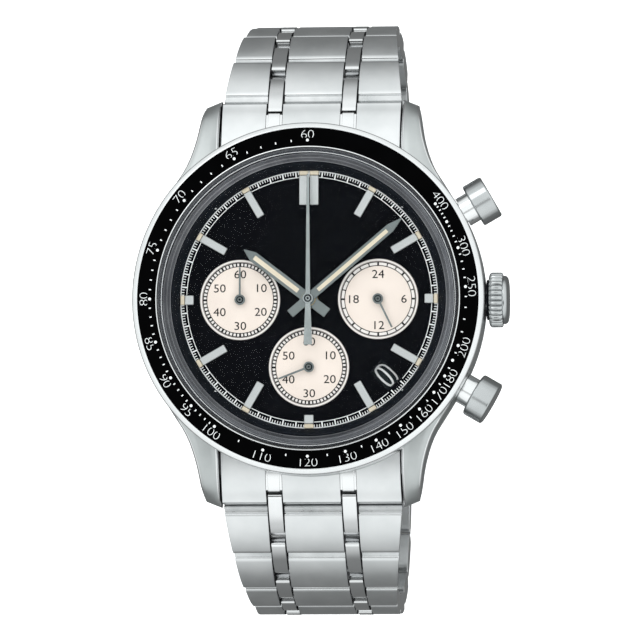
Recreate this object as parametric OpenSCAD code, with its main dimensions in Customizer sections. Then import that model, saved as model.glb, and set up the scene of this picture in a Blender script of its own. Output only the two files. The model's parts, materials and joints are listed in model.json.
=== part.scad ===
// Chronograph wristwatch: steel case, box crystal, three sub-dials, five-piece bracelet
// with a folding clasp. Dial faces +Z, 12 o'clock is +Y, the crown is on +X.
// The origin is the centre of the case back's outer face.

/* [Case] */
// Outside diameter of the case barrel, without the crown
case_d = 41; // [38:0.5:44]
// Distance between the tips of the upper and lower lugs
lug_to_lug = 47.8; // [45:0.2:50]
// Gap between the lugs, which the end links fill
lug_width = 21.4; // [20.4:0.2:22]
// Height of the case back's outer face to the top of the crystal
watch_height = 12.4; // [11:0.1:14]
// Height of the crown and pusher axes
crown_z = 5; // [4.6:0.1:5.6]

/* [Dial] */
// Diameter of the visible dial with its minute track
dial_d = 30; // [28:0.5:31]
// Diameter of each of the three sub-dials
subdial_d = 9.4; // [8:0.1:10]
// Distance of the left and right sub-dials from the centre
subdial_side = 8.05; // [7.5:0.05:8.5]
// Distance of the lower sub-dial from the centre
subdial_low = 7.9; // [7.5:0.05:8.5]

/* [Hands] */
// Length of the minute hand from its axis to its tip
minute_len = 14.3; // [13:0.1:14.6]
// Length of the hour hand from its axis to its tip
hour_len = 9.5; // [8:0.1:10]
// Length of the centre chronograph seconds hand
chrono_len = 14.5; // [13:0.1:14.7]
// Minute hand's angle clockwise from 12
minute_at = 49.6; // [0:0.1:359.9]
// Hour hand's angle clockwise from 12
hour_at = 307.6; // [0:0.1:359.9]

/* [Bracelet] */
// Distance between two bracelet hinges
pitch = 6.7; // [6.5:0.1:6.9]
// Thickness of a bracelet row
row_t = 2.6; // [2.2:0.1:3]
// Gap between two pieces that turn against each other
gap = 0.12; // [0.1:0.01:0.2]

/* [Hidden] */
$fn = 48;
eps = 0.01;
fit = 0.04;
// case heights
back_t = 1.7;
barrel_z0 = 1.0;
barrel_z1 = 8.4;
bore_r = 16.1;
seat_z = 7.9;
// movement and dial heights
bridge_z = 2.3;
bridge_t = 0.5;
train_z = 3.15;
wheel_t = 0.25;
plate_z = 4.4;
plate_t = 1.1;
motion_z = 5.75;
date_z = 6.35;
dial_z = 7.2;
dial_t = 0.45;
dial_top = dial_z + dial_t;
sub_z = dial_top + 0.3;
hour_z = dial_top + 0.75;
minute_z = dial_top + 1.15;
chrono_z = dial_top + 1.55;
hand_t = 0.16;
// arbors
arbor_r = 0.22;
cannon_r = 0.55;
hour_tube_r = 0.85;
motion_dist = 2.95;
// bezel and crystal
bezel_z = barrel_z1 + 0.02;
insert_r0 = 17.55;
insert_r1 = 19.85;
insert_top = 9.75;
crystal_r = 17.4;
// bracelet path: angle of each row below the horizontal
row_angle = [40, 55.5, 72.5, 83, 95, 113, 140, 168];
row_width = [20.9, 19.5, 18.2, 17.1, 16.9, 16.9, 16.9, 16.9];
rows = len(row_angle);
first_hinge = [22.6, 2.6];
lead = 1.08;
trail = 0.9;
rod_r = 0.44;
bore_pin = rod_r + fit;
fixed_s = 2.9;
bar_s = 5.2;
narrow_end = 4.65;
bar_n = 0.1;
slot_w = 1.9;
slot_x = 4.35;
link_gap = 0.2;
// clasp
clasp_w = 18.9;
clasp_wall = 0.85;
clasp_hinge = hinge_at(rows);
blade_w = 8;
blade_t = 0.8;
fold_y = -15.6;
fold_z = clasp_hinge[1] - 1.0;
blade_len = 31;
blade_end = -17.3;
cover_end = -17.5;
button_y = 6;
// crown
crown_r = 3.2;
crown_x0 = case_d / 2 + 0.35;
crown_len = 2.35;
flutes = 30;
// spring bar
bar_y = 20.85;
bar_z = 2.1;
bar_r = 0.5;
date_at = 135;
pusher_at = [30, -30];
collar_r = 1.8;

function hinge_at(n) =
    n == 0 ? first_hinge
    : hinge_at(n - 1) + pitch * [cos(row_angle[n - 1]), -sin(row_angle[n - 1])];

steel = [0.78, 0.79, 0.8];
black = [0.05, 0.05, 0.06];
brass = [0.8, 0.65, 0.35];

// ---- helpers ----

// a profile drawn in (y, z) and given its width along x
module along_x(width) {
    rotate([90, 0, 90])
        translate([0, 0, -width / 2])
            linear_extrude(width)
                children();
}

module rod_x(y, z, r, len, sides = 20) {
    translate([-len / 2, y, z])
        rotate([0, 90, 0])
            cylinder(r = r, h = len, $fn = sides);
}

module ring(r0, r1, z0, z1, sides = 72) {
    translate([0, 0, z0])
        difference() {
            cylinder(r = r1, h = z1 - z0, $fn = sides);
            translate([0, 0, -eps])
                cylinder(r = r0, h = z1 - z0 + 2 * eps, $fn = sides);
        }
}

// turn a thing drawn towards 12 o'clock clockwise by an angle
module clockwise(angle) {
    rotate([0, 0, -angle])
        children();
}

// a toothed wheel as a plain outline
module toothed(teeth, r, depth) {
    step = 360 / teeth;
    polygon([for (i = [0:teeth - 1], k = [0:3])
        let (a = (i + [0, 0.2, 0.45, 0.75][k]) * step, q = k == 1 || k == 2 ? r : r - depth)
        [q * cos(a), q * sin(a)]]);
}

module wheel(teeth, r, z, t, depth = 0.15) {
    translate([0, 0, z])
        linear_extrude(t)
            toothed(teeth, r, depth);
}

// a spoked train wheel
module train_wheel(teeth, r, z, t) {
    translate([0, 0, z])
        linear_extrude(t)
            difference() {
                toothed(teeth, r, 0.16);
                for (a = [0:90:270])
                    rotate(a + 45)
                        translate([r * 0.52, 0])
                            circle(r = r * 0.24, $fn = 24);
            }
}

// ---- case ----

module lug_plan() {
    tip = lug_to_lug / 2;
    polygon([
        [lug_width / 2, 12], [lug_width / 2, tip - 0.15], [lug_width / 2 + 0.2, tip],
        [12.05, tip - 0.6], [12.3, tip - 0.85], [12.64, 22], [12.85, 21], [13.05, 20],
        [13.28, 19], [13.55, 18], [13.85, 17], [14.25, 16], [14.75, 15], [15.4, 14], [16.4, 12.5],
        [17, 11.2], [12, 10]
    ]);
}

module lug_side() {
    polygon([
        [9, 8.2], [14, 8.1], [17, 7.5], [20, 6.5], [22, 5.2], [23.3, 3.9],
        [lug_to_lug / 2 - 0.02, 2.7], [lug_to_lug / 2 - 0.02, 1.5], [lug_to_lug / 2 - 0.5, 0.8],
        [21.5, 0.35], [18.5, 0.6], [16, barrel_z0], [9, barrel_z0]
    ]);
}

module lug() {
    intersection() {
        linear_extrude(barrel_z1)
            lug_plan();
        along_x(60)
            lug_side();
    }
}

module barrel_profile() {
    r = case_d / 2;
    polygon([
        [bore_r, barrel_z0], [r - 1.5, barrel_z0], [r - 0.4, 2.2], [r, 3.6],
        [r, 7.3], [r - 0.12, 7.9], [r - 0.3, barrel_z1], [bore_r, barrel_z1]
    ]);
}

module mid_case() {
    color(steel)
        difference() {
            union() {
                rotate_extrude($fn = 120)
                    barrel_profile();
                for (sx = [0, 1], sy = [0, 1])
                    mirror([sx, 0, 0])
                        mirror([0, sy, 0])
                            lug();
            }
            // movement bore, case back thread and dial seat
            translate([0, 0, -eps])
                cylinder(r = bore_r, h = 20, $fn = 96);
            translate([0, 0, -1])
                cylinder(r = 17.3, h = 1 + back_t + 0.5, $fn = 96);
            translate([0, 0, seat_z])
                cylinder(r = 17.2, h = 2, $fn = 96);
            // room for the end links under the barrel
            for (s = [-1, 1])
                translate([-lug_width / 2, s > 0 ? 19.95 : -30, -1])
                    cube([lug_width, 10.05, 4.75]);
            // spring bar holes
            for (s = [-1, 1])
                rod_x(s * bar_y, bar_z, 0.42, lug_width + 2.2);
            // crown tube and pusher tubes
            translate([15, 0, crown_z])
                rotate([0, 90, 0])
                    cylinder(r = 1.5, h = 8, $fn = 32);
            for (a = pusher_at)
                rotate([0, 0, a])
                    translate([15, 0, crown_z])
                        rotate([0, 90, 0])
                            cylinder(r = 1.3, h = 8, $fn = 32);
            // flats where the crown and pushers sit
            translate([case_d / 2 - 0.25, 0, crown_z])
                rotate([0, 90, 0])
                    cylinder(r = 3.5, h = 3, $fn = 48);
        }
}

module case_back() {
    color(steel)
        difference() {
            rotate_extrude($fn = 96)
                polygon([
                    [0, 0], [14.6, 0], [15.2, 0.25], [16.9, 0.75], [18.6, 0.85], [18.8, 0.95],
                    [17.2, 0.95], [17.2, back_t + 0.1], [16.0, back_t + 0.1],
                    [15.6, 1.25], [0, 1.25]
                ]);
            // six slots for the case key
            for (a = [0:60:300])
                rotate([0, 0, a])
                    translate([16.1, -1, -1])
                        cube([1.4, 2, 1.55]);
            // engraved ring
            translate([0, 0, -eps])
                ring(11.2, 11.5, -0.1, 0.12);
        }
}

module gaskets() {
    color([0.12, 0.12, 0.12]) {
        ring(16.15, 16.9, back_t + 0.14, back_t + 0.45);
        ring(crystal_r + 0.02, crystal_r + 0.18, 8.5, insert_top - 0.35);
    }
}

// steel ring that carries the insert and holds the crystal
module bezel_ring() {
    r = case_d / 2;
    color(steel)
        rotate_extrude($fn = 120)
            polygon([
                [crystal_r + 0.2, bezel_z], [r - 0.05, bezel_z], [r, 8.8], [r - 0.03, 9.3],
                [r - 0.2, 9.65], [insert_r1 + 0.02, insert_top + 0.06],
                [insert_r1 + 0.02, insert_top - 0.42], [insert_r0 + 0.16, insert_top - 0.3],
                [insert_r0 + 0.16, insert_top + 0.12], [crystal_r + 0.2, insert_top + 0.16]
            ]);
}

module tachymeter_insert() {
    color(black)
        rotate_extrude($fn = 120)
            polygon([
                [insert_r0 + 0.18, insert_top - 0.28], [insert_r1, insert_top - 0.4],
                [insert_r1, insert_top], [insert_r0 + 0.18, insert_top + 0.08]
            ]);
}

module crystal() {
    color([0.8, 0.88, 0.92, 0.35])
        rotate_extrude($fn = 96)
            polygon([
                [15.9, 8.45], [crystal_r, 8.45], [crystal_r, 11.3], [crystal_r - 0.25, 11.75],
                [16.3, 12.05], [12, 12.25], [6, 12.37], [0, watch_height],
                [0, 11.2], [6, 11.16], [12, 11], [15.2, 10.8], [15.75, 10.4]
            ]);
}

module rehaut_ring() {
    color(black)
        rotate_extrude($fn = 96)
            polygon([
                [dial_d / 2 + 0.05, dial_top + 0.02], [bore_r - 0.05, dial_top + 0.02],
                [bore_r - 0.05, 8.38], [15.85, 8.38], [15.75, 8.75], [15.5, 8.75]
            ]);
}

// ---- dial ----

module subdial_places() {
    translate([-subdial_side, 0, 0])
        children();
    translate([subdial_side, 0, 0])
        children();
    translate([0, -subdial_low, 0])
        children();
}

module dial() {
    color(black)
        difference() {
            translate([0, 0, dial_z])
                cylinder(r = 15.9, h = dial_t, $fn = 96);
            translate([0, 0, dial_z - 1])
                cylinder(r = 1.1, h = 3, $fn = 32);
            subdial_places()
                translate([0, 0, dial_z - 1])
                    cylinder(r = 0.4, h = 3, $fn = 24);
            // recessed sub-dials
            subdial_places()
                translate([0, 0, dial_top - 0.12])
                    cylinder(r = subdial_d / 2, h = 1, $fn = 64);
            // date window
            clockwise(date_at)
                translate([-1.05, 11, dial_z - 1])
                    cube([2.1, 3.05, 3]);
        }
    // dial feet in the main plate
    color(brass)
        for (a = [75, 255])
            rotate([0, 0, a])
                translate([14.9, 0, plate_z + plate_t + 0.1])
                    cylinder(r = 0.35, h = dial_z - plate_z - plate_t - 0.1, $fn = 20);
}

// applied batons with their lume blocks; 12 is double, 3, 6 and 9 are short
module baton(len, width) {
    outer = dial_d / 2 - 0.5;
    translate([-width / 2, outer - len, dial_top])
        cube([width, len, 0.32]);
    translate([-width / 2, outer + 0.02, dial_top])
        cube([width, 0.5, 0.2]);
}

module hour_markers() {
    color([0.82, 0.83, 0.84])
        for (h = [0:11])
            clockwise(30 * h)
                if (h == 0) {
                    for (s = [-0.62, 0.62])
                        translate([s, 0, 0])
                            baton(3.5, 1.05);
                } else {
                    baton(h % 3 == 0 ? 1.05 : 3.3, h % 3 == 0 ? 1.1 : 0.95);
                }
}

// ---- hands ----

module baton_hand(len, width, tail, point) {
    polygon([
        [-width / 2, -tail], [width / 2, -tail], [width / 2, len - point], [0.08, len],
        [-0.08, len], [-width / 2, len - point]
    ]);
}

module time_hand(len, width, point, z, hub, bore, at) {
    clockwise(at)
        translate([0, 0, z])
            linear_extrude(hand_t)
                difference() {
                    union() {
                        baton_hand(len, width, 2.75, point);
                        circle(r = hub, $fn = 32);
                    }
                    circle(r = bore, $fn = 32);
                }
}

module hour_hand() {
    color(steel)
        time_hand(hour_len, 1.22, 1.35, hour_z, 1.05, hour_tube_r + 0.005, hour_at);
}

module minute_hand() {
    color(steel)
        time_hand(minute_len, 1.04, 1.7, minute_z, 0.8, cannon_r + 0.005, minute_at);
}

module chrono_seconds_hand() {
    color(steel)
        translate([0, 0, chrono_z])
            difference() {
                linear_extrude(hand_t)
                    union() {
                        polygon([
                            [-0.5, -5.4], [0.5, -5.4], [0.28, 0], [0.14, chrono_len],
                            [-0.14, chrono_len], [-0.28, 0]
                        ]);
                        circle(r = 0.63, $fn = 32);
                    }
                translate([0, 0, -1])
                    cylinder(r = arbor_r + 0.005, h = 3, $fn = 24);
            }
}

module small_hand(len, at) {
    color(black)
        clockwise(at)
            translate([0, 0, sub_z])
                linear_extrude(hand_t)
                    difference() {
                        union() {
                            polygon([
                                [-0.12, 0], [0.12, 0], [0.1, len], [-0.1, len]
                            ]);
                            circle(r = 0.62, $fn = 32);
                        }
                        circle(r = arbor_r + 0.005, $fn = 24);
                    }
}

module minute_counter_hand() {
    translate([-subdial_side, 0, 0])
        small_hand(3.77, 0);
}

module hours24_hand() {
    translate([subdial_side, 0, 0])
        small_hand(3.7, 154);
}

module small_seconds_hand() {
    translate([0, -subdial_low, 0])
        small_hand(3.77, 249);
}

// arbor from the train bridge up through plate and dial, with its train wheel
module sub_arbor(teeth, r) {
    color(brass) {
        translate([0, 0, bridge_z + 0.1])
            cylinder(r = arbor_r, h = sub_z + hand_t + 0.05 - bridge_z - 0.1, $fn = 24);
        train_wheel(teeth, r, train_z, wheel_t);
    }
}

module minute_counter_wheel() {
    translate([-subdial_side, 0, 0])
        sub_arbor(30, 2.1);
}

module hours24_wheel() {
    translate([subdial_side, 0, 0])
        sub_arbor(36, 2.3);
}

module small_seconds_wheel() {
    translate([0, -subdial_low, 0])
        sub_arbor(30, 2.1);
}

module chrono_seconds_wheel() {
    color(brass) {
        translate([0, 0, bridge_z + 0.1])
            cylinder(r = arbor_r, h = chrono_z + hand_t + 0.05 - bridge_z - 0.1, $fn = 24);
        train_wheel(48, 3.4, train_z, wheel_t);
    }
}

module cannon_pinion() {
    color(brass)
        difference() {
            union() {
                translate([0, 0, plate_z + 0.2])
                    cylinder(r = cannon_r, h = minute_z + hand_t + 0.05 - plate_z - 0.2, $fn = 32);
                wheel(12, 0.92, motion_z, 0.3, 0.2);
            }
            translate([0, 0, plate_z])
                cylinder(r = arbor_r + fit, h = 8, $fn = 24);
        }
}

module hour_wheel() {
    z0 = motion_z + 0.4;
    color(brass)
        difference() {
            union() {
                translate([0, 0, z0])
                    cylinder(r = hour_tube_r, h = hour_z + hand_t + 0.05 - z0, $fn = 32);
                train_wheel(40, 2.4, z0, 0.3);
            }
            translate([0, 0, z0 - 1])
                cylinder(r = cannon_r + fit, h = 5, $fn = 32);
        }
}

module minute_wheel() {
    color(brass)
        rotate([0, 0, 110])
            translate([motion_dist, 0, 0])
                difference() {
                    union() {
                        train_wheel(36, 1.92, motion_z, 0.3);
                        wheel(10, 0.46, motion_z + 0.3, 0.4, 0.1);
                    }
                    translate([0, 0, motion_z - 1])
                        cylinder(r = 0.24, h = 3, $fn = 24);
                }
}

module date_ring() {
    color(black)
        translate([0, 0, date_z])
            linear_extrude(0.3)
                difference() {
                    circle(r = 14.2, $fn = 96);
                    toothed(31, 10.5, 0.35);
                }
}

// ---- movement ----

module movement_ring() {
    color([0.9, 0.9, 0.88])
        difference() {
            ring(14.35, bore_r - 0.15, 2.4, dial_z - 0.02);
            for (a = [0, 30, -30])
                rotate([0, 0, a])
                    translate([12, 0, crown_z])
                        rotate([0, 90, 0])
                            cylinder(r = 1.35, h = 6, $fn = 32);
            for (a = [75, 255])
                rotate([0, 0, a])
                    translate([14.9, 0, 0])
                        cylinder(r = 0.5, h = 9, $fn = 20);
        }
}

module main_plate() {
    color(brass)
        difference() {
            union() {
                translate([0, 0, plate_z])
                    cylinder(r = 14.2, h = plate_t, $fn = 96);
                // seat that carries the date ring
                ring(11.2, 12.6, plate_z + plate_t, date_z - 0.1);
                // post that the minute wheel turns on
                rotate([0, 0, 110])
                    translate([motion_dist, 0, plate_z])
                        cylinder(r = 0.2, h = motion_z + 0.65 - plate_z, $fn = 24);
            }
            translate([0, 0, plate_z - 1])
                cylinder(r = cannon_r + fit, h = 4, $fn = 32);
            subdial_places()
                translate([0, 0, plate_z - 1])
                    cylinder(r = arbor_r + fit, h = 4, $fn = 24);
            // channel for the setting stem
            translate([9, -1.2, plate_z - 1])
                cube([9, 2.4, 2.6]);
            // slots in which the pusher stems end
            for (a = pusher_at)
                rotate([0, 0, a])
                    translate([11.6, -1, plate_z - 1])
                        cube([4, 2, 2.6]);
        }
}

module train_bridge() {
    color([0.75, 0.76, 0.78]) {
        difference() {
            translate([0, 0, bridge_z])
                cylinder(r = 13.9, h = bridge_t, $fn = 96);
            // battery opening
            translate([-2.5, 8.6, bridge_z - 1])
                cylinder(r = 5, h = 3, $fn = 48);
            translate([0, 0, bridge_z - eps])
                cylinder(r = arbor_r + fit, h = 3, $fn = 24);
            subdial_places()
                translate([0, 0, bridge_z - eps])
                    cylinder(r = arbor_r + fit, h = 3, $fn = 24);
        }
        // pillars between bridge and plate
        for (a = [65, 130, 205, 235, 300, 340])
            rotate([0, 0, a])
                translate([12.9, 0, bridge_z + bridge_t])
                    cylinder(r = 0.7, h = plate_z - bridge_z - bridge_t, $fn = 24);
    }
}

// three stepper motor coils on their cores
module coil_blocks() {
    for (p = [[-8.2, -6.6, 40], [7.4, -7.6, -38], [6.8, 7.2, 35]])
        translate([p[0], p[1], 3])
            rotate([0, 0, p[2]]) {
                color([0.7, 0.35, 0.15])
                    rotate([0, 90, 0])
                        translate([-0.65, 0, -2.6])
                            cylinder(r = 0.55, h = 5.2, $fn = 24);
                color(steel)
                    for (s = [-1, 1])
                        translate([s * 3 - 0.4, -0.9, 0.1])
                            cube([0.8, 1.8, 1.1]);
            }
}

module battery() {
    color(steel)
        translate([-2.5, 8.6, 0])
            rotate_extrude($fn = 64)
                polygon([
                    [0, 1.5], [3.6, 1.5], [3.7, 1.75], [4.5, 1.75], [4.75, 2], [4.75, 3.9],
                    [4.6, 4.1], [0, 4.1]
                ]);
}

// ---- crown and pushers ----

// tubes fixed in the case wall, with the crown and pushers running in them
module crown_tube() {
    color(steel)
        translate([0, 0, crown_z])
            rotate([0, 90, 0])
                difference() {
                    union() {
                        translate([0, 0, 16])
                            cylinder(r = 1.48, h = 4.2, $fn = 32);
                        translate([0, 0, 20.2])
                            cylinder(r = 1.3, h = 1.9, $fn = 32);
                    }
                    cylinder(r = 0.6 + fit, h = 30, $fn = 32);
                }
}

module pusher_tubes() {
    color(steel)
        for (a = pusher_at)
            rotate([0, 0, a])
                translate([0, 0, crown_z])
                    rotate([0, 90, 0])
                        difference() {
                            union() {
                                translate([0, 0, 16])
                                    cylinder(r = 1.28, h = 4.6, $fn = 32);
                                translate([0, 0, case_d / 2 + 0.03])
                                    cylinder(r = collar_r, h = 1.97, $fn = 40);
                            }
                            cylinder(r = 0.5 + fit, h = 30, $fn = 32);
                        }
}

module crown() {
    color(steel)
        translate([crown_x0, 0, crown_z])
            rotate([0, 90, 0])
                difference() {
                    union() {
                        // fluted grip between two plain edges
                        linear_extrude(crown_len - 0.8)
                            toothed(flutes, crown_r, 0.16);
                        rotate_extrude($fn = 64)
                            polygon([
                                [0, 0], [crown_r - 0.25, 0], [crown_r - 0.25, crown_len - 0.8],
                                [crown_r - 0.05, crown_len - 0.8], [crown_r - 0.2, crown_len - 0.35],
                                [crown_r - 0.7, crown_len - 0.1], [0, crown_len]
                            ]);
                    }
                    // hollow that slides over the tube
                    translate([0, 0, -eps])
                        cylinder(r = 1.36, h = 1.85, $fn = 32);
                }
}

module stem() {
    color(steel)
        translate([0, 0, crown_z])
            rotate([0, 90, 0]) {
                translate([0, 0, 15.4])
                    cylinder(r = 0.6, h = crown_x0 + 1.84 - 15.4, $fn = 32);
                // groove that the setting lever holds
                translate([0, 0, 9.2])
                    cylinder(r = 0.4, h = 6.25, $fn = 24);
                translate([0, 0, 9.6])
                    cylinder(r = 0.75, h = 0.6, $fn = 24);
                translate([0, 0, 10.9])
                    cylinder(r = 0.75, h = 0.6, $fn = 24);
            }
}

// fork in the stem's groove, which is drawn out with the crown
module setting_lever() {
    color(steel)
        difference() {
            translate([10.28, -1.05, crown_z - 1.3])
                cube([0.54, 2.1, 1.7]);
            translate([10, 0, crown_z])
                rotate([0, 90, 0])
                    cylinder(r = 0.4 + fit, h = 1.2, $fn = 24);
            translate([10, -0.42, crown_z])
                cube([1.2, 0.84, 3]);
        }
}

// hollow cap that slides over the tube's collar, on a stem into the movement
module pusher(at) {
    cap_r = 2.6;
    cap_x = 21.9;
    wall_x = 1.75;
    color(steel)
        rotate([0, 0, at])
            translate([0, 0, crown_z])
                rotate([0, 90, 0]) {
                    translate([0, 0, cap_x])
                        rotate_extrude($fn = 64)
                            polygon([
                                [0, wall_x], [collar_r + 0.06, wall_x], [collar_r + 0.06, 0],
                                [cap_r - 0.1, 0], [cap_r, 0.1], [cap_r, 2.05],
                                [cap_r - 0.35, 2.35], [0, 2.45]
                            ]);
                    translate([0, 0, 13.4])
                        cylinder(r = 0.5, h = cap_x + wall_x - 13.4 + 0.1, $fn = 32);
                }
}

module pusher_start() {
    pusher(pusher_at[0]);
}

module pusher_reset() {
    pusher(pusher_at[1]);
}

// ---- bracelet ----

module spring_bars() {
    color(steel)
        for (s = [-1, 1]) {
            rod_x(s * bar_y, bar_z, bar_r, lug_width - 1.6);
            rod_x(s * bar_y, bar_z, 0.38, lug_width + 2);
        }
}

// slots that the next row's narrow pieces swing in, at both sides of the centre piece
module slot_places() {
    for (s = [-1, 1])
        translate([s * slot_x, 0, 0])
            children();
}

module end_link() {
    h = first_hinge;
    w = lug_width - 2 * link_gap;
    end_r = trail + 0.03;
    color(steel)
        difference() {
            union() {
                difference() {
                    along_x(w)
                        polygon([
                            [20.1, 1.1], [21.9, 1.15], [h[0] + 0.32, h[1] - 0.87],
                            [h[0] + 0.76, h[1] - 0.53], [h[0] + end_r, h[1]],
                            [h[0] + end_r, h[1] + 0.7], [h[0] + 0.7, h[1] + 1.35],
                            [22.5, 4.45], [20.6, 5.35], [17.3, 6.3], [17.3, 3.9], [20.1, 3.9]
                        ]);
                    translate([0, 0, 3.7])
                        cylinder(r = case_d / 2 + 0.06, h = 9, $fn = 120);
                    slot_places()
                        translate([-slot_w / 2, 21.4, -1])
                            cube([slot_w, 5, 9]);
                }
                // raised stripes that carry the narrow pieces on to the case
                difference() {
                    slot_places()
                        along_x(slot_w - 0.5)
                            polygon([
                                [18, 4.3], [21.75, 4.3], [21.75, 5], [21.5, 5.25], [20.6, 5.62],
                                [18, 6.4]
                            ]);
                    translate([0, 0, 3.7])
                        cylinder(r = case_d / 2 + 0.06, h = 9, $fn = 120);
                }
            }
            rod_x(h[0], h[1], bore_pin, w + 1);
            rod_x(bar_y, bar_z, bar_r + fit, w + 1);
        }
    color(steel)
        rod_x(h[0], h[1], rod_r, w - 0.8);
}

module end_link_12() {
    end_link();
}

module end_link_6() {
    mirror([0, 1, 0])
        end_link();
}

// side outline of a wide piece: lip, step, rounded back, chamfered underside
function back_n(s, s0, s1) =
    let (u = (2 * s - s0 - s1) / (s1 - s0)) 1.02 + 0.3 * (1 - u * u);

module wide_outline() {
    s0 = lead + 0.8;
    s1 = pitch + trail;
    polygon(concat(
        [[lead, -0.75], [lead, 0.45], [lead + 0.15, 0.62], [s0 - 0.05, 0.72]],
        [for (i = [0:8]) let (s = s0 + (s1 - s0) * i / 8) [s, back_n(s, s0, s1)]],
        [[s1, -0.1], [s1 - 0.55, -1.2], [lead + 0.9, -row_t / 2], [lead + 0.35, -1.15]]
    ));
}

module narrow_outline() {
    e = narrow_end;
    polygon(concat(
        [for (a = [180:18:270]) 0.88 * [cos(a), sin(a)]],
        [[e - 0.5, -1.1], [e, -0.6], [e, 1.1], [e - 0.15, 1.22], [-0.68, 1.22], [-0.84, 1.06]]
    ));
}

// the row's outline from above, narrowing towards the clasp
module taper(w0, w1) {
    translate([0, 0, -3])
        linear_extrude(6)
            polygon([
                [-w0 / 2, lead - 0.1], [w0 / 2, lead - 0.1], [w1 / 2, pitch + trail + 0.1],
                [-w1 / 2, pitch + trail + 0.1]
            ]);
}

// one bracelet row in its own frame: y along the bracelet from its hinge, z outwards
module row(w, w_next) {
    color(steel) {
        // three wide pieces
        intersection() {
            difference() {
                along_x(w + 2)
                    wide_outline();
                slot_places()
                    translate([-slot_w / 2, -1, -4])
                        cube([slot_w, pitch + 5, 8]);
                rod_x(pitch, 0, bore_pin, w + 4);
                rod_x(fixed_s, 0, bore_pin, w + 4);
                rod_x(bar_s, bar_n, 0.3 + fit, w + 4);
            }
            taper(w, w_next + 0.05);
        }
        // two narrow pieces that reach back into the row before
        slot_places()
            difference() {
                along_x(slot_w - 2 * gap)
                    narrow_outline();
                rod_x(0, 0, bore_pin, 4);
                rod_x(fixed_s, 0, bore_pin, 4);
            }
        // pins: the next hinge, the fixed one and the bar seen between narrow pieces
        rod_x(pitch, 0, rod_r, w_next - 0.9);
        rod_x(fixed_s, 0, rod_r, w - 1.8);
        rod_x(bar_s, bar_n, 0.3, w - 2);
    }
}

// places a row: n counts from 0 at the case
module row_12(n) {
    h = hinge_at(n);
    translate([0, h[0], h[1]])
        rotate([-row_angle[n], 0, 0])
            row(row_width[n], n < rows - 1 ? row_width[n + 1] : row_width[n]);
}

module row_6(n) {
    mirror([0, 1, 0])
        row_12(n);
}

// ---- clasp ----

module clasp_cover() {
    h = clasp_hinge;
    y0 = cover_end;
    y1 = h[0] + 1.2;
    z0 = h[1] - 3.0;
    inner = clasp_w - 2 * clasp_wall;
    color(steel) {
        difference() {
            intersection() {
                along_x(clasp_w)
                    polygon([
                        [y0, z0 + 0.5], [y0 + 0.4, z0], [y1 - 1.2, z0], [y1 - 0.1, z0 + 0.9],
                        [y1, h[1] + 0.4], [y1 - 0.8, h[1] + 1.2], [y0 + 0.8, h[1] + 1.2],
                        [y0, h[1] + 0.6]
                    ]);
                // rounded outer edges along both sides
                translate([0, y0 - 1, 0])
                    rotate([-90, 0, 0])
                        linear_extrude(y1 - y0 + 2)
                            polygon([
                                [-clasp_w / 2, -z0 - 0.7], [-clasp_w / 2 + 0.25, -z0 - 0.2],
                                [-clasp_w / 2 + 0.9, -z0], [clasp_w / 2 - 0.9, -z0],
                                [clasp_w / 2 - 0.25, -z0 - 0.2], [clasp_w / 2, -z0 - 0.7],
                                [clasp_w / 2, -h[1] - 2], [-clasp_w / 2, -h[1] - 2]
                            ]);
            }
            translate([-inner / 2, y0 - 1, z0 + 1])
                cube([inner, y1 - y0 + 2, 9]);
            rod_x(h[0], h[1], bore_pin, clasp_w + 1);
            rod_x(fold_y, fold_z, 0.5, clasp_w - 0.6);
            // button windows
            for (s = [-1, 1])
                translate([s * clasp_w / 2, button_y, h[1] - 0.9])
                    rotate([0, 90, 0])
                        cylinder(r = 1.6, h = 4, center = true, $fn = 32);
        }
        // pin of the folding blade
        rod_x(fold_y, fold_z, 0.44, clasp_w - 0.8);
        // bosses that hold the row's pin
        difference() {
            rod_x(h[0], h[1], rod_r, clasp_w - 0.4);
            rod_x(h[0], h[1], 1, inner - 0.1);
        }
    }
}

// long blade: from the fold at the cover's far end back under the wrist
module clasp_blade_long() {
    y1 = fold_y + blade_len;
    color(steel)
        difference() {
            union() {
                translate([-blade_w / 2, fold_y, fold_z - 0.4])
                    cube([blade_w, blade_len - 1.3, blade_t]);
                rod_x(fold_y, fold_z, 0.8, blade_w);
                rod_x(y1, fold_z + 0.75, 0.9, 3.6);
                translate([-1.8, y1 - 1.6, fold_z - 0.4])
                    cube([3.6, 1.6, 1.1]);
            }
            rod_x(fold_y, fold_z, 0.44 + fit, blade_w + 2);
            // long opening that lightens the blade
            translate([-1.6, fold_y + 4, fold_z - 2])
                cube([3.2, blade_len - 9, 5]);
            rod_x(y1, fold_z + 0.75, 0.48, 8);
        }
    color(steel)
        rod_x(y1, fold_z + 0.75, 0.44, blade_w - 0.4);
}

// short blade: from the second fold back to the last row at 6 o'clock
module clasp_blade_short() {
    y1 = fold_y + blade_len;
    z = fold_z + 1.0;
    color(steel)
        difference() {
            union() {
                difference() {
                    translate([-blade_w / 2, blade_end, z])
                        cube([blade_w, y1 - blade_end, 0.75]);
                    translate([-2.1, y1 - 1.6, z - 1])
                        cube([4.2, 3, 3]);
                }
                for (s = [-1, 1])
                    translate([s * (blade_w / 2 + 2.1) / 2, 0, 0])
                        rod_x(y1, fold_z + 0.75, 0.9, blade_w / 2 - 2.1);
                // end bar that the last row is hung on
                translate([-blade_w / 2, blade_end, z])
                    cube([blade_w, 1.6, 1.4]);
            }
            rod_x(y1, fold_z + 0.75, 0.44 + fit, blade_w + 2);
            translate([-1.6, blade_end + 4, z - 1])
                cube([3.2, 24, 4]);
        }
}

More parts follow.
